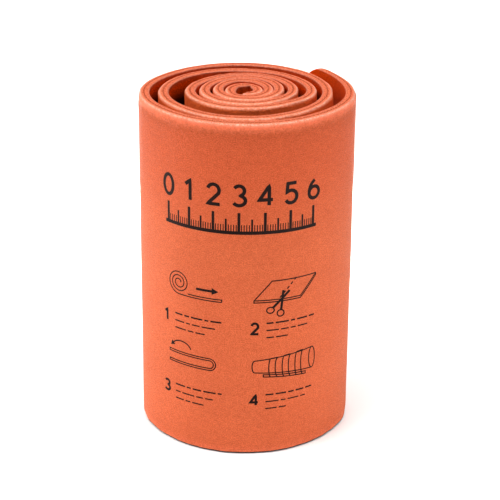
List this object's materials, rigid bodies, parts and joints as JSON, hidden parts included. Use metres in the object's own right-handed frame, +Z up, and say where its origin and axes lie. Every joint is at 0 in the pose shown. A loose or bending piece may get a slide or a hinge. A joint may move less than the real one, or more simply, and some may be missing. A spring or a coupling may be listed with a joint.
{
  "type": "foam splint",
  "caption": "Rolled foam splint: a wide padded strip of two bonded foam sheets, wound in a loose spiral and stood on its long edge, with its outer end a short free flap.",
  "frame": {"origin": "middle of the roll's footprint, on the surface that it stands on", "axes": "+Z up along the roll's axis, which is the strip's width; -Y faces the viewer, and +X is to the right, where the free flap lies"},
  "size_m": [0.0842, 0.075, 0.1407],
  "materials": {
    "foam": "soft matte closed-cell foam, orange",
    "ink": "matte printed ink, near black"
  },
  "bodies": {
    "root": {"outer_foam": "foam", "inner_foam": "foam"}
  },
  "joints": []
}
